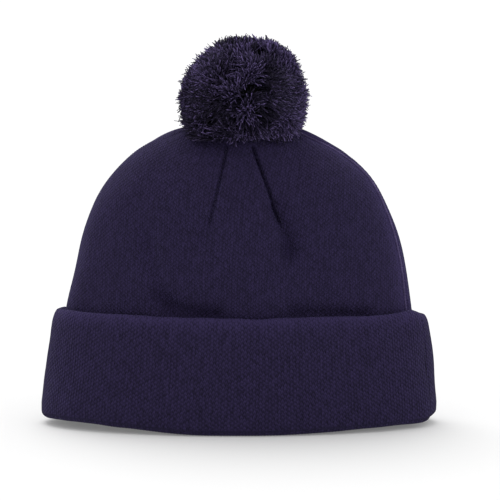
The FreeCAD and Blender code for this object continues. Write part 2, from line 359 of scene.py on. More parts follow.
def pile_material(name, colour):
    """Cut yarn. Each strand has its own tone, with painted shade darkening it towards its root, deep in
    the pile, and a painted highlight at its cut end.
    """
    material, tree, shader = new_material(name, 0.75, 0.16, (0.42, 0.38, 0.75))
    own, along, place = coordinates(tree)
    fibre = noise_node(tree, place, 0.5, 2.0)
    tone = weighed(tree, (own, 0.75), (fibre, 0.45))
    stops = [(0.22, shade(colour, 0.15)), (0.60, colour), (0.90, shade(colour, 9.0))]
    strand = ramp_node(tree, tone, stops)
    # Painted shade: strands darken towards their roots, where the pile shades them. Painted highlight at
    # their cut ends.
    root_shade_tip_highlight = [(0.0, 0.05), (0.6, 0.28), (0.9, 0.75), (1.0, 1.5)]
    depth = ramp_node(tree, along, [(share, (grey,) * 3) for share, grey in root_shade_tip_highlight])
    product = tree.nodes.new("ShaderNodeVectorMath")
    product.operation = "MULTIPLY"
    tree.links.new(strand, product.inputs[0])
    tree.links.new(depth, product.inputs[1])
    tree.links.new(product.outputs["Vector"], shader.inputs["Base Color"])
    bump_node(tree, shader, fibre, 0.15)
    return material


cuff_rows = (CUFF_TOP - CUFF_SOLE) / CUFF_STITCH[1]
crown_knit = knit_material("crown_knit", NAVY, point=1, evenness=0.09)
cuff_knit = knit_material("cuff_knit", NAVY, point=-1, evenness=0.12, fold_row=cuff_rows)
lining_knit = knit_material("lining_knit", shade(NAVY, 0.95), point=1, evenness=0.08)
# The ridge's yarn is about four times as light as the knit: a painted highlight of the light its edge
# catches.
ridge_highlight_yarn = yarn_material("seam_ridge", (0.060, 0.045, 0.110), 0.85)
thread = yarn_material("sewing_thread", shade(NAVY, 0.7), 0.6)
tie_yarn = yarn_material("tie_cord", shade(NAVY, 0.9), 0.8)
pom_yarn = pile_material("pom_yarn", (0.0122, 0.0090, 0.0226))


# ---------------------------------------------------------------- crown and lining
def crown_section(level, inset=0.0):
    """Half width, half depth and height of the crown's oval. Levels go from -1 at the hem, through 0 at
    the cuff's top, to 1 where the dome would close."""
    level = np.asarray(level, float)
    up = np.clip(level, 0, 1)
    down = np.minimum(level, 0)
    rounding = np.sqrt(1 - up**CROWN_FULLNESS)
    half_width = (CROWN_HALF_WIDTH - inset) * (1 - CROWN_TAPER * up) * rounding - 2.5 * down
    half_depth = (CROWN_HALF_DEPTH - inset) * rounding + 1.2 * down
    height = CROWN_FOOT + up * (CROWN_RISE - inset) + down * (CROWN_FOOT - HEM_TOP)
    return half_width, half_depth, height


def edge_lift(sideways):
    """How far the turned edge of the hat rises towards its sides. sideways goes from -1 to 1."""
    away = np.abs(sideways)
    left = 4.3 * ease((away - 0.15) / 0.65) - 0.7 * ease((away - 0.9) / 0.1)
    right = 2.5 * ease((away - 0.1) / 0.75) + 2.0 * ease((away - 0.93) / 0.07)
    return np.where(sideways < 0, left, right)


def seam_angle(half_width, half_depth):
    """Angle at which the turned seam plane meets an oval on the right. Angles run from the front."""
    return np.arctan2(half_depth, half_width * math.tan(SEAM_TURN))


def oval_angles(half_width, half_depth, start, end, count):
    """Angles of count evenly spaced points on an oval."""
    angle = np.linspace(start, end, 6 * count)
    steps = np.hypot(np.diff(half_width * np.sin(angle)), np.diff(half_depth * np.cos(angle)))
    length = np.concatenate([[0], np.cumsum(steps)])
    return np.interp(np.linspace(0, length[-1], count), length, angle)


def right_fall(x, level):
    """How much lower the crown's top lies on the right than the even dome."""
    return (3.0 * ease((x - 5) / 35) - 0.9 * ease((-x - 15) / 35)) * ease((level - 0.55) / 0.4)


def shoulder_shift(level):
    """How far to the right the crown's sections sit."""
    return CROWN_SHIFT + ease((level - 0.55) / 0.25) * (1 - ease((level - 0.84) / 0.12))


def drawn(level):
    """How far the gathers draw a section to the eyelet, as a share."""
    return ease((level - 0.8) / 0.2)


def crown_levels(count, skirt_rows, top):
    """Levels of a panel's rows: a few in the skirt, then even steps up the dome."""
    fine = np.linspace(0, top, 4000)
    a, b, z = crown_section(fine)
    steps = np.sqrt(np.diff(z) ** 2 + (np.diff(a) ** 2 + np.diff(b) ** 2) / 2)
    length = np.concatenate([[0], np.cumsum(steps)])
    dome = np.interp(np.linspace(0, length[-1], count - skirt_rows), length, fine)
    return np.concatenate([np.linspace(-1, 0, skirt_rows, endpoint=False), dome])


def crown_grid(levels, columns, side, inset=0.0):
    """Points on the smooth crown. side is 0 for the front panel and 1 for the back one."""
    rows = []
    for a, b, z in zip(*crown_section(levels, inset)):
        start = seam_angle(a, b) - math.pi + side * math.pi
        angle = oval_angles(a, b, start, start + math.pi, columns)
        rows.append(np.stack([a * np.sin(angle), -b * np.cos(angle), np.full(columns, z)], -1))
    points = np.array(rows)
    # The skirt follows the lifted edge.
    sideways = np.clip(points[..., 0] / CUFF_HALF_WIDTH, -1, 1)
    points[..., 2] += edge_lift(sideways) * np.clip(-levels, 0, 1)[:, None] * SKIRT_LIFT
    points[..., 0] += shoulder_shift(levels)[:, None]
    points[..., 2] -= right_fall(points[..., 0], levels[:, None])
    # The gathered top is drawn towards the eyelet and down into a shallow dimple.
    points[..., :2] += drawn(levels)[:, None, None] * PIVOT[:2]
    reach = np.linalg.norm(points[..., :2] - PIVOT[:2], axis=-1)
    points[..., 2] -= DIMPLE * np.exp(-((reach / 13) ** 2))
    return points


# Places on the crown are (x, height above the cuff).
DARTS = {
    # name: lower end, upper end, groove depth, how much lower the knit outside it lies
    "left_dart": ((-16.5, 51.0), (-6.6, 94.5), 2.1, 0.5),
    "right_dart": ((25.2, 49.5), (8.5, 93.5), 3.6, 1.7),
}
DART_FOLDS = [
    # route, depth and width of the soft valleys below the darts
    ([(20.5, 62), (25.5, 53), (28.5, 44), (29.5, 37)], 5.8, 5.0),
    ([(26, 40), (22, 30), (18, 24)], 3.0, 8.0),
    ([(-17, 52), (-20, 43)], 1.9, 3.2),
]
FRONT_FOLDS = [
    # the same for the folds and hollows that only the front has
    ([(-50, 44), (-48, 31), (-44, 17), (-38, 7)], 3.0, 5.5),
    ([(-44, 9), (-36, 4), (-26, 2), (-14, 1)], 5.0, 5.8),
    ([(30, 36), (40, 22), (50, 12)], 1.5, 6.0),
    ([(32, 2), (46, 1.5), (58, 0), (70, -1)], 3.8, 5.5),
]


def along_line(points, low, high):
    """Share of the way up a line in the X-Z plane, and the signed distance from it."""
    low, high = np.array(low), np.array(high)
    run = high - low
    length = np.linalg.norm(run)
    flat = points[..., [0, 2]] - low
    share = flat @ run / length**2
    off = (flat[..., 0] * run[1] - flat[..., 1] * run[0]) / length
    return share, off


def trough(points, route, depth, width):
    """A soft valley along a route."""
    nearest = np.full(points.shape[:2], 1e9)
    flat = points[..., [0, 2]]
    for low, high in zip(route, route[1:]):
        low, high = np.array(low), np.array(high)
        run = high - low
        share = np.clip((flat - low) @ run / (run @ run), 0, 1)
        nearest = np.minimum(nearest, np.linalg.norm(flat - low - share[..., None] * run, axis=-1))
    return -depth * np.exp(-((nearest / width) ** 2))


def crown_folds(points, side):
    """How far the knit stands out from the smooth crown: darts, hollows above the cuff, unevenness."""
    points = points - np.array([0, 0, CROWN_FOOT])
    mirrored = points if side == 0 else points * np.array([-1, 1, 1])
    out = np.zeros(points.shape[:2])
    for low, high, depth, lower in DARTS.values():
        share, off = along_line(mirrored, low, high)
        held = ease(share / 0.12) * ease((1.08 - share) / 0.05)
        near = ease((share + 0.30) / 0.45) * ease((1.08 - share) / 0.05)
        # Each stitch draws in a small pucker.
        length = math.dist(low, high)
        pucker = 0.16 * np.sin(share * length * 2 * math.pi / 3.2) * np.exp(-((off / 2.6) ** 2))
        out += held * (-depth * np.exp(-(np.abs(off / 1.05) ** 3)) + pucker)
        # The knit outside the stitching lies lower than the gore between the darts.
        outside = off * math.copysign(1, low[0])
        out += near * -lower * np.exp(-np.maximum(outside, 0) / 4.0) / (1 + np.exp(-outside / 0.3))
    for fold in DART_FOLDS:
        out += trough(mirrored, *fold)
    if side == 0:
        # The front swells between two soft folds, and hollows form where they meet the cuff.
        belly = np.exp(-(((points[..., 0] - 2) / 30) ** 2) - ((points[..., 2] - 28) / 20) ** 2)
        out += 2.2 * belly
        for fold in FRONT_FOLDS:
            out += trough(points, *fold)
    # Where it goes into the cuff the knit is drawn in, except at the far left, which swells.
    foot = np.exp(-((points[..., 2] / 16) ** 2))
    left, right = (np.clip(way * points[..., 0] / CROWN_HALF_WIDTH, 0, 1) ** 6 for way in (-1, 1))
    out += foot * (2.5 * left + 0.8 * right - 1.1)
    middle = np.clip(1 - np.abs(points[..., 0]) / 90, 0, 1)
    out -= 0.8 * middle * np.exp(-((points[..., 2] / 7) ** 2))
    out += 0.55 * waves(11 + side, 34)(points) + 0.22 * waves(21 + side, 12)(points)
    return out


def lining_sag(points):
    """How far the lining hangs away from the crown."""
    away = np.linalg.norm(points[..., :2] - PIVOT[:2], axis=-1)
    return SAG_DEPTH * np.exp(-(((away - SAG_RADIUS) / SAG_WIDTH) ** 2))


SIDES = ("front", "back")
LAYERS = {
    # layer: inset, wall, columns and rows of the coarse face, material
    "crown": (0.0, CROWN_WALL, 186, 136, crown_knit),
    "lining": (LINING_INSET, LINING_WALL, 120, 76, lining_knit),
}
SKIRT_ROWS = 13
DOME_TOP = 0.9985  # level where the panels stop, inside the gathers


def panel(layer, side):
    """A crown or lining panel: a closed sheet of knit. Its fine face shows the columns of stitches."""
    inset, wall, columns, rows, material = LAYERS[layer]
    inward = layer == "lining"
    across = FINE * columns + 1
    levels = crown_levels(rows, SKIRT_ROWS, DOME_TOP)
    outer = crown_grid(levels, across, side, inset)
    outward = normals_of(outer)
    folds = crown_folds(outer, side)[..., None]
    # The gathers run into the eyelet.
    steps = np.linalg.norm(np.diff(outer, axis=1), axis=-1)
    along = np.concatenate([np.zeros((rows, 1)), np.cumsum(steps, axis=1)], axis=1)
    edge = np.minimum(along, along[:, -1:] - along)
    # The seam's allowance is pressed to the back, so it lifts the knit there.
    seam_step = 1.2 * np.exp(-(((edge - 2.6) / 2.2) ** 4)) * side
    pleat = np.sin(np.linspace(0, 22 * math.pi, across))[None, :, None]
    gathers = 0.8 * pleat * ease((levels - 0.88) / 0.1)[:, None, None]
    # Stitches are as wide at the top as at the hem, and are counted from the panel's middle.
    stitch_u = (along - along[:, across // 2, None]) / CROWN_STITCH[0]
    relief = 0.09 * np.cos(2 * math.pi * stitch_u)[..., None]
    face = outer + outward * (folds + seam_step[..., None] + gathers)
    if inward:
        face -= outward * lining_sag(outer)[..., None]
        front, back = face - outward * wall - outward * relief, face
    else:
        front, back = face + outward * relief, face - outward * wall
    points, faces = shell(front, back, FINE)
    if inward:
        faces = [f[::-1] for f in faces]
    steps = np.linalg.norm(np.diff(outer[:, across // 2], axis=0), axis=-1)
    up = np.concatenate([[0], np.cumsum(steps)])
    stitch_v = np.repeat(up[:, None] / CROWN_STITCH[1], across, axis=1)
    uv = np.stack([stitch_u, stitch_v], -1)
    uv = np.concatenate([uv.reshape(-1, 2), uv[::FINE, ::FINE].reshape(-1, 2)])
    name, node, slot = f"{layer}_{SIDES[side]}", f"{layer}_{SIDES[side]}_panel", f"{layer}_knit"
    piece = make_piece(name, points, faces, material, "hat", [node], uv)
    # The knit beside the seams is paler, partly where the seams pull it open and partly as a painted
    # highlight of the light along the seam's edge.
    seam_pull_and_highlight = np.exp(-edge / 4.5)
    seam_pull_and_highlight = np.concatenate([seam_pull_and_highlight.ravel(), seam_pull_and_highlight[::FINE, ::FINE].ravel()])
    piece.data.attributes.new("seam_pull_and_highlight", "FLOAT", "POINT").data.foreach_set("value", seam_pull_and_highlight)
    return face


crown_faces = [panel("crown", side) for side in range(2)]
for side in range(2):
    panel("lining", side)


# ---------------------------------------------------------------- cuff
def cuff_profile():
    """The band's closed section: points (inset from the outer wall, height). It goes up the outside,
    over the fold, down the inside and round the hem."""
    top = CUFF_TOP
    crest = 0.45 * CUFF_WALL  # inset of the fold's top
    slope, drop = 8.5, 3.0  # how far below its top the fold starts outside, and ends inside
    outer = [(0.0, z) for z in np.linspace(CUFF_SOLE, top - slope - 1, 22)]
    turn = np.linspace(0, math.pi / 2, 13)
    shoulder = [(crest - crest * math.cos(t), top - slope + slope * math.sin(t)) for t in turn]
    within = CUFF_WALL - crest
    fold = [(crest + within * math.sin(t), top - drop + drop * math.cos(t)) for t in turn[2::2]]
    inner = [(CUFF_WALL, z) for z in np.linspace(top - 5, 4.4, 8)]
    trough_floor = [(5.2, 3.2), (8.0, 3.0), (9.6, 3.6)]
    hem_outer = [(9.9, 6.0), (9.9, HEM_TOP - 1.4)]
    hem_top = [(10.6, HEM_TOP - 0.3), (12.2, HEM_TOP - 0.3)]
    hem_inner = [(12.9, HEM_TOP - 1.6), (13.1, 8.0), (12.9, 4.4), (12.2, 2.2), (10.8, 0.7)]
    hem = trough_floor + hem_outer + hem_top + hem_inner
    sole = [(9.0, 0.1), (6.5, 0.0), (4.0, 0.0), (2.2, 0.35), (0.9, 1.2), (0.2, 2.3)]
    return np.array(outer + shoulder + fold + inner + hem + sole)


def fold_fullness(angle):
    """How much thicker than its plain wall the fold is, to meet the crown at an angle from the front."""
    half_width, half_depth = CUFF_HALF_WIDTH + 0.9 - 0.85 * CUFF_LEAN, CUFF_HALF_DEPTH - 1.2
    x, y = half_width * np.sin(angle) + 0.8, -half_depth * np.cos(angle)
    nx, ny = half_depth * np.sin(angle), -half_width * np.cos(angle)
    size = np.hypot(nx, ny)
    nx, ny = nx / size, ny / size
    # Distance t inwards from the outer wall to the crown's oval: a quadratic in t.
    a, b, _ = crown_section(0.0)
    x = x - CROWN_SHIFT
    p = (nx / a) ** 2 + (ny / b) ** 2
    q = x * nx / a**2 + y * ny / b**2
    r = (x / a) ** 2 + (y / b) ** 2 - 1
    room = (q - np.sqrt(np.maximum(q**2 - p * r, 0))) / p
    return np.clip((room - 0.2) / 4.6, 0.8, 2.3)


def cuff_grid(angles, profile):
    """Points of the band, one row for each angle and one column for each point of the section."""
    height = profile[:, 1]
    share = height / CUFF_TOP
    angle = angles[:, None]
    # The fold fills the room up to the crown, so it is fuller at the sides.
    fuller = (fold_fullness(angle) - 1) * ease((share - 0.45) / 0.4)
    inset = profile[:, 0] * (1 + fuller * np.clip(profile[:, 0] / CUFF_WALL, 0, 1))
    lean = CUFF_LEAN * np.maximum(share - 0.13, 0)
    belly = 0.9 * np.sin(np.clip(share, 0, 1) * math.pi)
    half_width = CUFF_HALF_WIDTH + 0.9 - lean
    half_depth = CUFF_HALF_DEPTH - 0.6 - 0.18 * lean + belly
    x, y = half_width * np.sin(angle), -half_depth * np.cos(angle)
    # Outward normal of the oval, to set the section in from the outer wall.
    nx, ny = half_depth * np.sin(angle), -half_width * np.cos(angle)
    size = np.hypot(nx, ny)
    x = x - inset * nx / size + 0.9 * share
    y = y - inset * ny / size
    # The turned edge lifts at the sides, and the fold is a little uneven.
    sideways = np.sin(angle)
    low = edge_lift(sideways)
    forward = np.clip(3 * np.cos(angle), -1, 1)
    high = CUFF_TOP - 1.6 * sideways + 2.1 * ease(sideways / 0.4) - 3.4 * ease((sideways - 0.90) / 0.10)
    high = high + 0.4 * np.cos(3 * angle + 1)
    high = high + forward * np.where(forward > 0, 1.3, 2.2) * np.abs(sideways) ** 4
    z = low + (high - low) * share
    return np.stack([x, y, z], -1)


def cuff_band(side):
    """Half of the turned-up band, from seam to seam."""
    across = 646  # sections, a few for each stitch
    profile = cuff_profile()
    start = seam_angle(CUFF_HALF_WIDTH, CUFF_HALF_DEPTH) - math.pi + side * math.pi
    angles = oval_angles(CUFF_HALF_WIDTH, CUFF_HALF_DEPTH, start, start + math.pi, across)
    points = cuff_grid(angles, profile)
    steps = np.linalg.norm(np.diff(points[:, 0], axis=0), axis=-1)
    walked = np.concatenate([[0], np.cumsum(steps)])
    stitch_u = walked / CUFF_STITCH[0]
    along = np.roll(points, -1, axis=1) - np.roll(points, 1, axis=1)
    around = np.gradient(points, axis=0)
    outward = unit(np.cross(around, along))
    uneven = 0.42 * waves(31 + side, 26)(points) + 0.20 * waves(41 + side, 9)(points)
    fade = ease(points[..., 2] / 6)
    ridge = 0.07 * np.cos(2 * math.pi * stitch_u)[:, None]
    edge = np.minimum(walked, walked[-1] - walked)[:, None]
    seam_dip = -0.35 * np.exp(-((edge / 1.0) ** 2))
    points = points + outward * (uneven * fade + ridge + seam_dip)[..., None]
    points[..., 2] = np.maximum(points[..., 2], 0.02)
    columns = points.shape[1]
    faces = grid_faces(across, columns, closed=True)
    faces.append(list(range(columns)))
    faces.append([(across - 1) * columns + k for k in range(columns)][::-1])
    steps = np.linalg.norm(np.diff(points[across // 2], axis=0), axis=-1)
    up = np.concatenate([[0], np.cumsum(steps)]) / CUFF_STITCH[1]
    uv = np.stack(np.meshgrid(stitch_u, up, indexing="ij"), -1).reshape(-1, 2)
    name = f"cuff_{SIDES[side]}"
    points = points.reshape(-1, 3)
    piece = make_piece(name, points, faces, cuff_knit, "hat", [f"{name}_band"], uv)


for side in range(2):
    cuff_band(side)


# ---------------------------------------------------------------- seams and stitching
def cord_piece(name, paths, radius, sides, material, body, nodes, ends=1.0):
    """Round cords along paths of equal length. ends scales the radius at both ends."""
    paths = np.asarray(paths, float)
    radii = np.full(paths.shape[:2], radius)
    radii[:, [0, -1]] *= ends
    points, faces = tubes(paths, radii, sides)
    return make_piece(name, points, faces, material, body, nodes)


def side_ridge(way, column):
    """The ridge where the crown's panels meet, ribbed by its overlocking."""
    path = crown_faces[0][6:120, column]
    steps = np.concatenate([[0], np.cumsum(np.linalg.norm(np.diff(path, axis=0), axis=-1))])
    even = np.arange(0, steps[-1], 0.45)
    path = np.stack([np.interp(even, steps, path[:, k]) for k in range(3)], -1)
    centre = np.array([0, 0, CROWN_FOOT])
    path = path + unit(path - centre) * 0.25
    radii = 0.62 + 0.12 * np.sin(even * 2 * math.pi / 1.5)
    points, faces = tubes(path[None], radii[None], 8)
    make_piece(f"side_seam_{way}", points, faces, ridge_highlight_yarn, "hat", [f"{way}_side_seam"])


for way, column in (("right", -1), ("left", 0)):
    side_ridge(way, column)


def stitches_on(face, low, high, count, lift, mirrored):
    """Short stitches along a dart's groove, on the folded face of a panel."""
    flat = face.reshape(-1, 3)
    low, high = (np.array(end) + [0, CROWN_FOOT] for end in (low, high))
    paths = []
    for k in range(count):
        ends = [low + (high - low) * (k + s) / count for s in (0.12, 0.5, 0.88)]
        route = []
        for x, z in ends:
            x = -x if mirrored else x
            gap = (flat[:, 0] - x) ** 2 + (flat[:, 2] - z) ** 2
            nearest = flat[np.argmin(gap)]
            route.append([x, nearest[1], z])
        route = np.array(route)
        route[:, 1] += (lift if mirrored else -lift) * np.array([0.2, 1.0, 0.2])
        paths.append(route)
    return np.array(paths)


for side in range(2):
    for dart_name, (low, high, _, _) in DARTS.items():
        paths = stitches_on(crown_faces[side], low, high, 22, 0.35, mirrored=side == 1)
        node = f"{SIDES[side]}_{dart_name}_seam"
        cord_piece(node, paths, 0.24, 5, thread, "hat", [node], 0.6)


def oval_route(half_width, half_depth, height, count):
    """A ring round the inside of the mouth, lifted at the sides like the edge."""
    angle = np.linspace(0, 2 * math.pi, count, endpoint=False)
    x = half_width * np.sin(angle)
    lift = edge_lift(x / CUFF_HALF_WIDTH) * SKIRT_LIFT
    return np.stack([x, -half_depth * np.cos(angle), height + lift], -1)


def cuff_seam(way, angle):
    """Two rows of small chain stitches up the cuff, at an angle from the front."""
    inset, low, high, pitch = 0.3, 5, CUFF_TOP - 6, 2.4
    sideways = np.array([math.cos(angle), math.sin(angle), 0])
    paths = []
    for k in range(int((high - low) / pitch)):
        for row in (-0.45, 0.45):
            heights = low + pitch * k + np.array([0.2, 1.2, 2.2])
            spot = cuff_grid(np.array([angle]), np.stack([np.full(3, inset), heights], -1))[0]
            paths.append(spot + sideways * row)
    node = f"cuff_{way}_seam"
    cord_piece(f"cuff_seam_{way}", paths, 0.22, 5, thread, "hat", [node], 0.7)


right_angle = seam_angle(CUFF_HALF_WIDTH, CUFF_HALF_DEPTH)
cuff_seam("right", right_angle)
cuff_seam("left", right_angle - math.pi)


def lining_seam(way, side):
    """Zigzag stitching up the inside of the lining at a side seam."""
    levels = np.linspace(-0.9, 0.93, 150)
    a, b, z = crown_section(levels, LINING_INSET + LINING_WALL + 0.3)
    angle = seam_angle(a, b) + side * math.pi
    zig = 1.3 * np.where(np.arange(len(levels)) % 2, 1, -1)
    path = np.stack([a * np.sin(angle), -b * np.cos(angle), z], -1)
    path[:, 1] += zig
    path[:, 2] -= lining_sag(path)
    node = f"lining_{way}_seam"
    cord_piece(f"lining_seam_{way}", path[None], 0.3, 5, thread, "hat", [node])


for side, way in enumerate(("right", "left")):
    lining_seam(way, side)


def joining_seam():
    """Overlock stitching round the inside of the mouth: a zigzag between two running threads."""
    half_width, half_depth, _ = crown_section(-1.0, LINING_INSET + LINING_WALL + 0.5)
    count, reach = 320, 2.6  # points of the zigzag, and how far it goes up and down
    zigzag = oval_route(half_width, half_depth, HEM_TOP, count)
    zigzag[:, 2] += reach * np.where(np.arange(count) % 2, 1, -1)
    rows = [zigzag]
    for lift in (-reach, reach):
        rows.append(oval_route(half_width - 0.2, half_depth - 0.2, HEM_TOP + lift, count))
    rings = np.array([np.concatenate([row, row[:1]]) for row in rows])
    cord_piece("mouth_overlock", rings, 0.38, 6, thread, "hat", ["cuff_joining_seam"])


joining_seam()


# ---------------------------------------------------------------- tie, binding and knot
def spiral(points, radius, turns, phase=0.0):
    """A route that winds round another one."""
    tangent = unit(np.gradient(points, axis=0))
    side = unit(np.cross(tangent, [0.31, 0.95, 0.05]))
    up = np.cross(tangent, side)
    turn = np.linspace(0, 2 * math.pi * turns, len(points))[:, None] + phase
    return points + radius * (side * np.cos(turn) + up * np.sin(turn))


def plied(points, radius, turns):
    """Three plies of a cord of the given radius."""
    return np.array([spiral(points, radius * 0.52, turns, k * 2 * math.pi / 3) for k in range(3)])


def upright(node, count, short=0.0):
    """A straight route up the tie, as long as one of its nodes or a little short of its top."""
    low, high = span(node)
    route = np.tile(PIVOT, (count, 1))
    route[:, 2] = np.linspace(low[2], high[2] - short, count)
    return route


def tie_piece(name, route, turns, node):
    """A stretch of the three-ply tie."""
    cord_piece(name, plied(route, 1.35, turns), 0.68, 8, tie_yarn, name, [node])


def tie_hitch():
    """The stretch of the tie in the pom. Its top winds over the binding."""
    count = 60
    route = upright("pom_tie_hitch", count, short=1)
    step = np.arange(count)
    bow = ease((step - 38) / 12)
    route[:, 0] += 1.6 * np.sin(step * 0.62) * bow
    route[:, 1] += 1.6 * np.cos(step * 0.62) * bow
    tie_piece("tie_hitch", route, 5, "pom_tie_hitch")


def binding():
    """Seven rounds of cord about the middle of the strands, each a little off the others."""
    rounds = 7
    wind = np.linspace(0, 2 * math.pi * rounds, 420)
    radius = (binding_high[0] - binding_low[0]) / 2 - 1.9
    route = np.stack([
        POM_CENTRE[0] + radius * np.cos(wind) + 0.5 * np.sin(wind * 1.37),
        POM_CENTRE[1] + radius * np.sin(wind) + 0.5 * np.cos(wind * 1.91),
        POM_CENTRE[2] + 1.3 * np.sin(wind / rounds + 0.4) + 0.3 * np.sin(wind * 0.53),
    ], -1)
    cord_piece("binding", route[None], 0.75, 8, tie_yarn, "pom", ["pom_binding"])


def knot():
    """An overhand knot: an open trefoil of the tie."""
    centre = (knot_low + knot_high) / 2
    loop = np.linspace(0.35, 2 * math.pi - 0.35, 90)
    route = np.stack([
        centre[0] + 1.5 * (np.sin(loop) + 2 * np.sin(2 * loop)) * 0.75,
        centre[1] + 1.5 * (np.cos(loop) - 2 * np.cos(2 * loop)) * 0.75,
        centre[2] + 1.6 - 1.5 * np.sin(3 * loop),
    ], -1)
    cord_piece("knot", plied(route, 1.3, 9), 0.66, 8, tie_yarn, "hat", ["tie_knot"], 0.7)


def gather_thread():
    """Thread that runs in and out of the knit round the eyelet."""
    low, high = span("crown_gather_thread")
    angle = np.linspace(0, 2 * math.pi, 181)
    radius = (high[0] - low[0]) / 2 + 0.8 * np.sin(angle * 15)
    route = np.stack([
        PIVOT[0] + radius * np.cos(angle),
        PIVOT[1] + radius * np.sin(angle) * 0.8,
        (low[2] + high[2]) / 2 - DIMPLE + 0.8 * np.cos(angle * 15),
    ], -1)
    cord_piece("gather_thread", route[None], 0.4, 6, thread, "hat", ["crown_gather_thread"])


tie_piece("tie_shank", upright("pom_tie_shank", 40), 3, "pom_tie_shank")
tie_hitch()
binding()
knot()
gather_thread()


# ---------------------------------------------------------------- pom
def crown_height(x, y):
    """Height of the smooth crown's top above a point, or a low value outside it."""
    levels = np.linspace(0, 1, 125, endpoint=False)
    # For each point, the highest level whose oval still holds it.
    reach = np.full(x.shape, -1e9)
    for level, half_width, half_depth, height in zip(levels, *crown_section(levels)):
        middle = drawn(level) * PIVOT[:2]
        middle[0] += shoulder_shift(level)
        inside = ((x - middle[0]) / half_width) ** 2 + ((y - middle[1]) / half_depth) ** 2 < 1
        reach = np.where(inside, height, reach)
    return reach - right_fall(x, (reach - CROWN_FOOT) / CROWN_RISE)


def directions(count):
    """Evenly spread unit vectors."""
    k = np.arange(count) + 0.5
    polar = np.arccos(1 - 2 * k / count)
    swing = math.pi * (3 - math.sqrt(5)) * k
    return np.stack([np.sin(polar) * np.cos(swing), np.sin(polar) * np.sin(swing), np.cos(polar)], -1)


POM_TUFTS = 240
POM_PARTINGS = [
    # where the pile parts
    (-0.06, -0.94, -0.26),
    (-0.04, -0.86, -0.50),
    (-0.20, -0.72, -0.68),
    (0.02, -0.72, 0.69),
    (0.5, 0.8, 0.2),
    (-0.4, 0.8, -0.2),
]
POM_LOCKS = [
    # where a lock starts, and which way its strands are swept
    ((-0.30, -0.85, 0.42), (-1.3, 0.0, 0.25)),
    ((0.20, -0.88, 0.42), (0.7, 0.0, -0.2)),
    ((0.50, -0.85, -0.05), (0.7, 0.0, -0.5)),
    ((-0.10, -0.95, -0.30), (-0.4, 0.0, -1.0)),
    ((0.25, -0.90, -0.35), (0.7, 0.0, -0.8)),
    ((-0.45, -0.75, -0.45), (-0.5, -0.2, -0.9)),
    ((0.55, -0.80, 0.25), (0.5, 0.0, 0.9)),
    ((-0.60, 0.75, 0.30), (0.9, 0.0, 0.6)),
    ((0.30, 0.90, 0.10), (-1.0, 0.0, -0.6)),
    ((0.90, 0.10, 0.30), (0.0, -1.0, 0.4)),
    ((-0.92, 0.10, 0.25), (0.0, 1.0, -0.5)),
    ((0.10, 0.00, 1.00), (0.9, 0.5, 0.0)),
]
POM_SWELLS = [
    # where the trimmed ball stands out or falls short, by what share, over what width
    ((-0.40, -0.66, -0.66), 0.23, 0.24),
    ((0.04, -0.68, -0.74), -0.07, 0.22),
    ((0.50, -0.55, -0.67), 0.03, 0.20),
    ((-0.38, -0.30, 0.87), -0.03, 0.26),
    ((0.30, -0.15, 0.94), 0.04, 0.24),
]
POM_PARTS = 6
POM_LEAN = 8  # degrees of sway and nod at their limits
POM_TWIST = 45  # degrees of twist at its limits
STRANDS = 128  # in each tuft
STRAND_SIDES = 3
ROOT = 15.0  # distance from the middle at which the drawn strands start


def turn_matrix(axis, degrees):
    """Matrix of a turn about X, Y or Z, as axis is 0, 1 or 2."""
    c = math.cos(math.radians(degrees))
    s = math.sin(math.radians(degrees))
    first, second = (axis + 1) % 3, (axis + 2) % 3
    matrix = np.eye(3)
    matrix[first, first] = matrix[second, second] = c
    matrix[second, first] = s
    matrix[first, second] = -s
    return matrix


def clear_of_lining(points):
    """Raises what would reach through the knit to the lining when the pom leans and twists to its
    limits. It may press in half as deep as the lining's face lies, and deeper where the lining sags."""
    low = points[..., 2] < PIVOT[2]
    near = points[low]
    for sway in (-POM_LEAN, POM_LEAN):
        for nod in (-POM_LEAN, POM_LEAN):
            for twist in (-POM_TWIST, 0, POM_TWIST):
                pose = turn_matrix(1, sway) @ turn_matrix(0, nod) @ turn_matrix(2, twist)
                turned = (near - PIVOT) @ pose.T + PIVOT
                allowed = crown_height(turned[:, 0], turned[:, 1]) - LINING_INSET / 2 - lining_sag(turned)
                near[:, 2] += np.maximum(allowed - turned[:, 2], 0)
    points[low] = near


def pom_tufts():
    """Direction, lean, length, fullness and shade of each tuft."""
    rng = np.random.default_rng(500)
    axis = unit(directions(POM_TUFTS) + rng.normal(scale=0.075, size=(POM_TUFTS, 3)))
    lean = rng.normal(scale=0.27, size=(POM_TUFTS, 3))
    # A quarter of the tufts lean boldly.
    lean *= rng.choice([0.7, 1.8], (POM_TUFTS, 1), p=[0.75, 0.25])
    reach = POM_RADIUS * (1 + rng.normal(scale=0.030, size=POM_TUFTS))
    fullness = rng.uniform(0.85, 1.15, POM_TUFTS)
    tone = rng.uniform(0, 1, POM_TUFTS)
    for parting in POM_PARTINGS:
        away = axis - unit(np.array(parting))
        lean += 2.8 * away * np.exp(-((np.linalg.norm(away, axis=-1, keepdims=True) / 0.20) ** 2))
    for start, sweep in POM_LOCKS:
        away = np.linalg.norm(axis - unit(np.array(start)), axis=-1, keepdims=True)
        lean += 1.0 * np.array(sweep) * np.exp(-((away / 0.22) ** 2))
    for place, swell, width in POM_SWELLS:
        away = np.linalg.norm(axis - unit(np.array(place)), axis=-1)
        reach = reach * (1 + swell * np.exp(-((away / width) ** 2)))
    lean -= axis * (lean * axis).sum(-1, keepdims=True)
    return axis, lean, reach, fullness, tone


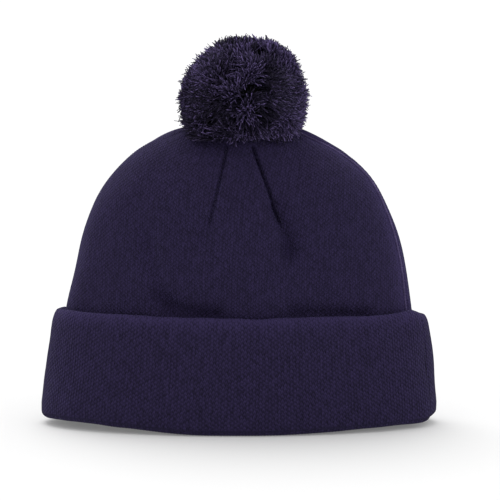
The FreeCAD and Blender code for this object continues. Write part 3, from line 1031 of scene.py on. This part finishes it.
def pom_strands(tufts, part):
    """Routes, radii and shades of one part of the tufts' strands. The strands of a tuft lie side by
    side, lean its way and are trimmed to the ball."""
    mine = np.arange(part, POM_TUFTS, POM_PARTS)
    axis, lean, reach, fullness, tone = (values[mine] for values in tufts)
    side = unit(np.cross(axis, [0.2, 0.3, 0.93]))
    up = np.cross(axis, side)
    rng = np.random.default_rng(600 + part)
    count = (len(mine), STRANDS)
    swing = rng.uniform(0, 2 * math.pi, count)
    out = np.sqrt(rng.uniform(0, 1, count))
    offset = side[:, None] * (np.cos(swing) * out)[..., None]
    offset = offset + up[:, None] * (np.sin(swing) * out)[..., None]
    own_lean = rng.normal(scale=0.09, size=(*count, 3))
    own_bend = rng.normal(scale=0.18, size=(*count, 3))
    own_reach = reach[:, None] * (1 + rng.normal(scale=0.026, size=count))
    trim = own_reach / POM_RADIUS
    routes = []
    for s in np.linspace(0, 1, 6):
        run = (POM_RADIUS - ROOT) * s
        depth = ROOT + run
        spread = (1.7 + 2.2 * s) * fullness[:, None, None]  # a tuft opens towards its cut end
        spot = axis[:, None] * depth + offset * spread + own_lean * run
        spot = spot + lean[:, None] * run * s**0.8 + own_bend * run * s**2
        size = np.linalg.norm(spot, axis=-1)
        spot = spot * (depth * trim / size)[..., None]
        routes.append(spot.reshape(-1, 3))
    paths = np.stack(routes, axis=1) + POM_CENTRE
    # The crown presses the pile from below, so its strands spread over the knit.
    away = np.linalg.norm(paths[..., :2] - PIVOT[:2], axis=-1)
    floor = crown_height(paths[..., 0], paths[..., 1]) + 0.5 + 0.06 * away
    paths[..., 2] = np.maximum(paths[..., 2], floor)
    clear_of_lining(paths)
    radii = rng.uniform(0.19, 0.31, (len(paths), 1)) * np.array([0.8, 0.9, 1, 1, 1, 0.95])
    shade_of = np.clip(0.45 * np.repeat(tone, STRANDS) + 0.55 * rng.uniform(0, 1, len(paths)), 0, 1)
    return paths, radii, shade_of


tufts = pom_tufts()
for part in range(POM_PARTS):
    paths, radii, shade_of = pom_strands(tufts, part)
    points, faces = tubes(paths, radii, STRAND_SIDES)
    # A strand's knit coordinates are its tone and the share of the way along it, which sets its painted
    # root shade and tip highlight.
    along = np.concatenate([np.repeat(np.linspace(0, 1, paths.shape[1]), STRAND_SIDES), [0, 1]])
    uv = np.stack([np.repeat(shade_of, len(along)), np.tile(along, len(shade_of))], -1)
    replaced = ["pom_pile"] if part == 0 else []
    make_piece(f"pom_yarn_{part + 1}", points, faces, pom_yarn, "pom", replaced, uv)


def pom_heart():
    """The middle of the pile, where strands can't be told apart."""
    rows, columns = 40, 80
    polar = np.linspace(0.02, math.pi - 0.02, rows)
    swing = np.linspace(0, 2 * math.pi, columns, endpoint=False)
    polar, swing = np.meshgrid(polar, swing, indexing="ij")
    aim = np.stack([np.sin(polar) * np.cos(swing), np.sin(polar) * np.sin(swing), np.cos(polar)], -1)
    reach = POM_RADIUS * (0.66 + 0.03 * waves(77, 5)(aim * 20))
    points = aim * reach[..., None] + POM_CENTRE
    floor = crown_height(points[..., 0], points[..., 1]) + 1.2
    points[..., 2] = np.maximum(points[..., 2], floor)
    clear_of_lining(points)
    faces = grid_faces(rows, columns, closed=True, flip=True)
    faces.append(list(range(columns)))
    faces.append([(rows - 1) * columns + k for k in range(columns)][::-1])
    # Zero coordinates give the heart the darkest painted shade of the strands' roots.
    uv = np.zeros((rows * columns, 2))
    make_piece("pom_heart", points.reshape(-1, 3), faces, pom_yarn, "pom", [], uv)


pom_heart()


# ---------------------------------------------------------------- stage, light and camera
def stage_material():
    """Pale matt paper."""
    material = bpy.data.materials.new("paper")
    material.use_nodes = True
    shader = material.node_tree.nodes["Principled BSDF"]
    shader.inputs["Base Color"].default_value = (0.60, 0.60, 0.60, 1)
    shader.inputs["Emission Color"].default_value = (1, 1, 1, 1)
    shader.inputs["Emission Strength"].default_value = 0.16  # a softly lit table, so shadows stay pale
    shader.inputs["Roughness"].default_value = 0.9
    shader.inputs["Specular IOR Level"].default_value = 0.1
    return material


FLOOR = 60.0  # metres from the middle to each side
corners = [(-FLOOR, -FLOOR, 0), (FLOOR, -FLOOR, 0), (FLOOR, FLOOR, 0), (-FLOOR, FLOOR, 0)]
floor_mesh = bpy.data.meshes.new("floor")
floor_mesh.from_pydata(corners, [], [(0, 1, 2, 3)])
floor_mesh.materials.append(stage_material())
floor = bpy.data.objects.new("floor", floor_mesh)
bpy.context.scene.collection.objects.link(floor)

world = bpy.data.worlds.new("studio")
bpy.context.scene.world = world
world.use_nodes = True
sky = world.node_tree.nodes["Background"]
sky.inputs["Color"].default_value = (1, 1, 1, 1)
sky.inputs["Strength"].default_value = 1.0


def lamp(name, kind, place, watts, spread):
    """A sun or a square area light, aimed at the hat from a place. spread is its angle or its size."""
    light = bpy.data.lights.new(name, kind)
    light.energy = watts
    if kind == "SUN":
        light.angle = spread
    else:
        light.size = spread
    item = bpy.data.objects.new(name, light)
    bpy.context.scene.collection.objects.link(item)
    item.location = place
    aim = Vector((0, 0, 0.1)) - Vector(place)
    item.rotation_euler = aim.to_track_quat("-Z", "Y").to_euler()


lamp("key", "SUN", (-0.40, 1.0, 2.0), 1.7, math.radians(50))
lamp("fill", "AREA", (1.4, -0.9, 0.9), 2, 1.0)

SENSOR = 36  # millimetres
CAMERA_ELEVATION = math.radians(6)
CAMERA_DISTANCE = 1.6
FRAME_WIDTH = 0.2855  # width of the view at the hat
AIM = np.array([0.0063, 0, 0.0993])
camera_data = bpy.data.cameras.new("camera")
camera_data.sensor_width = SENSOR
camera_data.lens = SENSOR * CAMERA_DISTANCE / FRAME_WIDTH
camera = bpy.data.objects.new("camera", camera_data)
bpy.context.scene.collection.objects.link(camera)
bpy.context.scene.camera = camera
backwards = np.array([0, -math.cos(CAMERA_ELEVATION), math.sin(CAMERA_ELEVATION)])
camera.location = AIM + CAMERA_DISTANCE * backwards
camera.rotation_euler = (math.pi / 2 - CAMERA_ELEVATION, 0, 0)
bpy.context.scene.view_settings.view_transform = "Standard"

bpy.context.view_layer.update()
